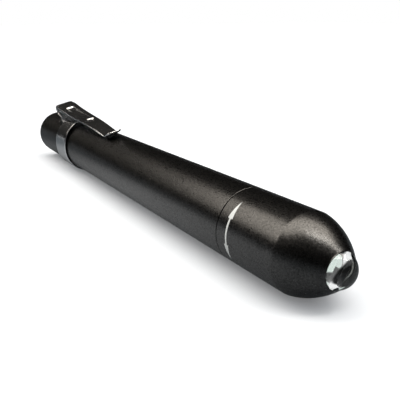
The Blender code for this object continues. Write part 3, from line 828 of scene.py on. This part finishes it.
arrow = {
    "place": 0.00305,
    "bow": 0.00016,
    "top": math.radians(56.6),
    "bottom": math.radians(-33.5),
    "topBarb": math.radians(29.2),
    "bottomBarb": math.radians(-9.0),
    "topHalfWidth": 0.00064,
    "bottomHalfWidth": 0.00058,
    "shaftHalfWidth": 0.00021,
    "coat": 0.00002,
    "headPower": 0.85,
    "leastHalfWidth": 0.00001,
    "step": 0.004,
    "rows": (40, 60, 44),
    "columns": 9,
    "rounding": 0.0001,
}


# Arrow: at each angle up the near side and share v across, place = centre line + v half width.
# The centre line bows by the square of the angle from its middle, an arrow head's half width is
# its share^0.85 of the way from tip to barbs, and all lies on the head's surface plus the coat.
def makeArrow():
    step = arrow["step"]
    bottomRows, shaftRows, topRows = arrow["rows"]
    angle = np.unique(np.concatenate([
        np.linspace(arrow["bottom"], arrow["bottomBarb"], bottomRows),
        np.linspace(arrow["bottomBarb"] + step, arrow["topBarb"] - step, shaftRows),
        np.linspace(arrow["topBarb"], arrow["top"], topRows)]))[:, None]
    toBottom = (angle - arrow["bottom"]) / (arrow["bottomBarb"] - arrow["bottom"])
    toTop = (arrow["top"] - angle) / (arrow["top"] - arrow["topBarb"])
    half = np.full(angle.shape, arrow["shaftHalfWidth"])
    for width, share in ((arrow["bottomHalfWidth"], toBottom), (arrow["topHalfWidth"], toTop)):
        taper = width * share ** arrow["headPower"]
        half = np.where(share <= 1 + arrow["rounding"], taper, half)
    half = np.maximum(half, arrow["leastHalfWidth"])
    middle = (arrow["top"] + arrow["bottom"]) / 2
    centre = arrow["place"] + arrow["bow"] * ((angle - middle) / (arrow["top"] - middle)) ** 2
    place = centre + half * np.linspace(-1, 1, arrow["columns"])
    radius = head["seamRadius"] + (head["radius"] - head["seamRadius"]) * place / head["length"]
    piece = plate("turningArrow", onNearSide(place, radius + arrow["coat"], angle),
                  onNearSide(place, radius - arrow["coat"] / 2, angle), looks["arrowPaint"])
    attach(piece, "head")


makeArrow()
print("turning mark made")


# Clip: one bent sheet from the band round the tube, up the tongue, over the fold and along the
# strip to its lip. In its own frame x runs along the light, y across and z out from the axis.

clip = {
    "sheet": 0.0004,
    "edge": 0.00018,
    "bandFront": -0.0798,
    "bandWidth": 0.0078,
    "bandRadius": 0.0071837,
    "bandDraw": 0.00075,
    "bandHalfTurn": math.radians(176.25),
    "tongueAngle": math.radians(18.75),
    "tongueBlend": math.radians(11),
    "tongueHalfWidth": 0.00285,
    "tongueDroop": 0.0003,
    "tongueRise": math.radians(12),
    "fillet": 0.0013,
    "foldHalfWidth": 0.00255,
    "foldRadius": 0.00145,
    "foldAt": -0.09148,
    "foldHeight": 0.01027,
    "shoulder": 0.002,
    "shoulderDroop": 0.00012,
    "droopLength": 0.005,
    "droopPower": 4,
    "stripHalfWidth": 0.00285,
    "stripFall": math.radians(7.35),
    "stripBow": math.radians(2.7),
    "stripLength": 0.033,
    "stripEndHalfWidth": 0.00204,
    "lipLength": 0.0036,
    "lipRise": math.radians(22),
    "lipBend": 0.0015,
    "lipCorner": 0.0008,
    "channelStart": 0.0043,
    "channelLength": 0.0151,
    "channelHalfWidth": 0.0011,
    "channelDepth": 0.00028,
    "channelWall": 0.0004,
    "channelFade": 0.85,
    "dimpleRadius": 0.00125,
    "dimpleDepth": 0.00028,
    "dimpleWall": 0.0006,
    "innerColumns": 46,
    "edgeColumn": 0.07,
    "outerColumns": 64,
    "bandRows": 33,
    "filletRows": 13,
    "filletCrowding": 1.6,
    "tongueRows": 15,
    "foldRows": 49,
    "stripRows": 260,
    "edgeSteps": 4,
    "edgeAngle": math.radians(50),
    "creaseAngle": math.radians(60),
    "hinge": (-0.09293, 0.0, 0.01027),
    "hingeOut": (0.0974, 0.0, 0.9952),
    "hingeReach": 0.0008,
}


# Fold: a circle; where the sheet heads at angle v, place = centre - radius sin v and
# height = centre - radius cos v.
def foldPoint(heading):
    return (clip["foldAt"] - clip["foldRadius"] * np.sin(heading),
            clip["foldHeight"] - clip["foldRadius"] * np.cos(heading))


# Tongue: height = start + (end - start) share^power, with the fold's slope at its end.
def tongueHeight(place):
    start = clip["bandRadius"] + clip["bandDraw"]
    endAt, endHeight = foldPoint(clip["tongueRise"])
    share = np.maximum((clip["bandFront"] - place) / (clip["bandFront"] - endAt), 0.0)
    power = (math.tan(clip["tongueRise"]) * (clip["bandFront"] - endAt)
             / (endHeight - start))
    return start + (endHeight - start) * share ** power


# Band: round the tube at the band's radius, drawn up on top; near the middle plane it turns
# into the flat tongue by a smooth share of angle and of place.
def bandPoints(angle, place):
    roundY = clip["bandRadius"] * np.sin(angle)
    roundZ = (clip["bandRadius"] * np.cos(angle)
              + clip["bandDraw"] * np.maximum(np.cos(angle), 0.0))
    endAt = foldPoint(clip["tongueRise"])[0]
    bandBack = clip["bandFront"] - clip["bandWidth"]
    rear = smoothStep((clip["bandFront"] - place) / clip["bandWidth"])
    narrowing = smoothStep((bandBack - place) / (bandBack - endAt))
    side = np.clip(angle / clip["tongueAngle"], -1.0, 1.0)
    halfWidth = (clip["tongueHalfWidth"]
                 + (clip["foldHalfWidth"] - clip["tongueHalfWidth"]) * narrowing)
    height = tongueHeight(place) - clip["tongueDroop"] * side ** 2 * (1 - narrowing)
    share = smoothStep(1 - (np.abs(angle) - clip["tongueAngle"]) / clip["tongueBlend"]) * rear
    return np.stack([place + 0 * angle, roundY + (side * halfWidth - roundY) * share,
                     roundZ + (height - roundZ) * share], -1)


# Strip half width: from the fold's, over the shoulders, tapering to the lip's round corners.
def stripHalfWidth(distance):
    along = np.clip(distance / clip["stripLength"], 0.0, 1.0)
    full = (clip["stripHalfWidth"]
            + (clip["stripEndHalfWidth"] - clip["stripHalfWidth"]) * along)
    shoulder = smoothStep(distance / clip["shoulder"])
    end = clip["stripLength"] + clip["lipLength"]
    inCorner = np.maximum(distance - end + clip["lipCorner"], 0.0)
    corner = clip["lipCorner"] - np.sqrt(np.maximum(clip["lipCorner"] ** 2 - inCorner ** 2, 0.0))
    return clip["foldHalfWidth"] + (full - clip["foldHalfWidth"]) * shoulder - corner


# Stamped channel: a smooth wall inside a rectangle, evenly shallower towards the front;
# dimple: a smooth bowl round its front end.
def stripSink(distance, across):
    start, length = clip["channelStart"], clip["channelLength"]
    alongIn = np.minimum(distance - start, start + length - distance)
    inside = np.minimum(alongIn, clip["channelHalfWidth"] - np.abs(across)) / clip["channelWall"]
    fading = 1 - clip["channelFade"] * np.clip((distance - start) / length, 0.0, 1.0)
    channel = clip["channelDepth"] * smoothStep(inside + 0.5) * fading
    reach = clip["dimpleRadius"] - np.hypot(distance - start - length, across)
    return np.maximum(channel, clip["dimpleDepth"] * smoothStep(reach / clip["dimpleWall"] + 0.5))


# Middle line of the strip: the heading falls, bows once along the strip and rises at the lip,
# and its cosine and sine summed over small steps give the place and height.
def stripLine():
    fall = clip["stripFall"] + clip["stripBow"]
    bend = (fall + clip["lipRise"]) * clip["lipBend"]
    end = clip["stripLength"] + clip["lipLength"]
    distance = np.linspace(0, end, clip["stripRows"])
    wave = 2 * np.pi * np.minimum(distance / clip["stripLength"], 1.0)
    past = np.clip((distance - clip["stripLength"] + bend / 2) / bend, 0.0, 1.0)
    slope = clip["stripFall"] + clip["stripBow"] * np.cos(wave)
    heading = np.pi + slope * (1 - past) - clip["lipRise"] * past
    step = distance[1] - distance[0]
    startAt, startHeight = foldPoint(np.pi + fall)
    place = startAt - np.concatenate([[0], np.cumsum(np.cos(heading[1:]))]) * step
    height = startHeight + np.concatenate([[0], np.cumsum(np.sin(heading[1:]))]) * step
    return distance, place, height, heading


# The clip's own frame turned about the light's axis by the lean.
def toWorld(points):
    lean = light["clipLean"]
    along, across, out = points[..., 0], points[..., 1], points[..., 2]
    return np.stack([along + light["seamAt"],
                     across * math.cos(lean) - out * math.sin(lean),
                     light["axisHeight"] + across * math.sin(lean) + out * math.cos(lean)], -1)


# Clip: a grid for the band and a narrower one for tongue, fold and strip, which share the row
# where the tongue leaves the band; the sheet's thickness and its cut edges are then added.
def makeClip():
    inside = 1 - clip["edgeColumn"]
    inner = np.concatenate([[-1], np.linspace(-inside, inside, clip["innerColumns"] + 1), [1]])
    widest = clip["tongueAngle"] + clip["tongueBlend"]
    outer = np.linspace(widest, clip["bandHalfTurn"], clip["outerColumns"] + 1)[1:]
    endAt = foldPoint(clip["tongueRise"])[0]
    bandBack = clip["bandFront"] - clip["bandWidth"]
    bandPlace = np.linspace(clip["bandFront"], bandBack, clip["bandRows"])
    bandAngle = np.concatenate([-outer[::-1], inner * widest, outer])
    band = bandPoints(bandAngle[None, :], bandPlace[:, None])

    filletPlace = np.linspace(0, 1, clip["filletRows"])[1:] ** clip["filletCrowding"]
    past = np.concatenate([filletPlace * clip["fillet"],
                           np.linspace(clip["fillet"], bandBack - endAt,
                                       clip["tongueRows"])[1:]])
    share = np.minimum(past / clip["fillet"], 1.0)
    limit = clip["tongueAngle"] + clip["tongueBlend"] * (1 - np.sqrt(1 - (1 - share) ** 2))
    tongue = bandPoints(inner[None, :] * limit[:, None], (bandBack - past)[:, None])

    fall = clip["stripFall"] + clip["stripBow"]
    turn = np.linspace(clip["tongueRise"], np.pi + fall, clip["foldRows"])[1:]
    turnAt, turnHeight = foldPoint(turn)
    distance, lineAt, lineHeight, heading = (np.delete(row, -2) for row in stripLine())
    distance = np.concatenate([clip["foldRadius"] * (turn - np.pi - fall), distance[1:]])
    lineAt = np.concatenate([turnAt, lineAt[1:]])
    lineHeight = np.concatenate([turnHeight, lineHeight[1:]])
    heading = np.concatenate([turn, heading[1:]])
    across = stripHalfWidth(distance)[:, None] * inner[None, :]
    droop = (clip["shoulderDroop"] * smoothStep(1 - distance / clip["droopLength"])
             * np.maximum(-np.cos(heading), 0.0))
    sink = (stripSink(distance[:, None], across)
            + droop[:, None] * inner[None, :] ** clip["droopPower"])
    arm = np.stack([lineAt[:, None] + sink * np.sin(heading)[:, None], across,
                    lineHeight[:, None] + sink * np.cos(heading)[:, None]], -1)

    narrow = np.concatenate([tongue, arm])
    bandRows, bandColumns = band.shape[:2]
    narrowRows, narrowColumns = narrow.shape[:2]
    bandIndex = np.arange(bandRows * bandColumns).reshape(bandRows, bandColumns)
    first = len(outer)
    narrowIndex = np.concatenate([bandIndex[-1:, first:first + narrowColumns],
                                  bandRows * bandColumns
                                  + np.arange(narrowRows * narrowColumns).reshape(
                                      narrowRows, narrowColumns)])
    faces = []
    for index in (bandIndex, narrowIndex):
        quads = np.stack([index[:-1, :-1], index[:-1, 1:], index[1:, 1:], index[1:, :-1]], -1)
        faces += quads.reshape(-1, 4).tolist()
    points = np.concatenate([toWorld(band).reshape(-1, 3), toWorld(narrow).reshape(-1, 3)])
    piece = addPiece("pocketClip", points, faces, looks["clipSteel"])
    thickness = piece.modifiers.new("Thickness", "SOLIDIFY")
    thickness.thickness = clip["sheet"]
    thickness.offset = 0.0
    thickness.use_even_offset = True
    rounding = piece.modifiers.new("Cut edges", "BEVEL")
    rounding.width = clip["edge"]
    rounding.segments = clip["edgeSteps"]
    rounding.use_clamp_overlap = False
    rounding.limit_method = "ANGLE"
    rounding.angle_limit = clip["edgeAngle"]
    finished = bpy.data.meshes.new_from_object(
        piece.evaluated_get(bpy.context.evaluated_depsgraph_get()))
    piece.modifiers.clear()
    piece.data = finished
    finished.name = "pocketClip"
    finished.set_sharp_from_angle(angle=clip["creaseAngle"])

    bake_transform(piece)
    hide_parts("clip_band", "clip_arm")


makeClip()
print("clip made")


# Looks of the CAD nodes that stay

nodeLooks = {
    "neck_oring": "blackRubber", "tail_spring": "springWire",
    "battery_front": "cellCan", "battery_front_sleeve": "cellSleeve",
    "battery_rear": "cellCan", "battery_rear_sleeve": "cellSleeve",
    "lens_oring": "blackRubber", "lens_spacer": "whitePlastic", "led_board": "whiteBoard",
    "led_package": "ledCeramic", "led_dome": "ledPhosphor", "led_housing": "bareAluminium",
    "led_lead_left": "tinnedCopper", "led_lead_right": "tinnedCopper",
    "driver_board": "greenBoard", "driver_chip": "blackPlastic",
    "driver_coil": "blackPlastic", "positive_contact": "brass",
    "polarity_ring": "fibreWasher",
}
for node, look in nodeLooks.items():
    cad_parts[node].material_slots[0].material = looks[look]
print("looks given to", len(nodeLooks), "inner nodes")
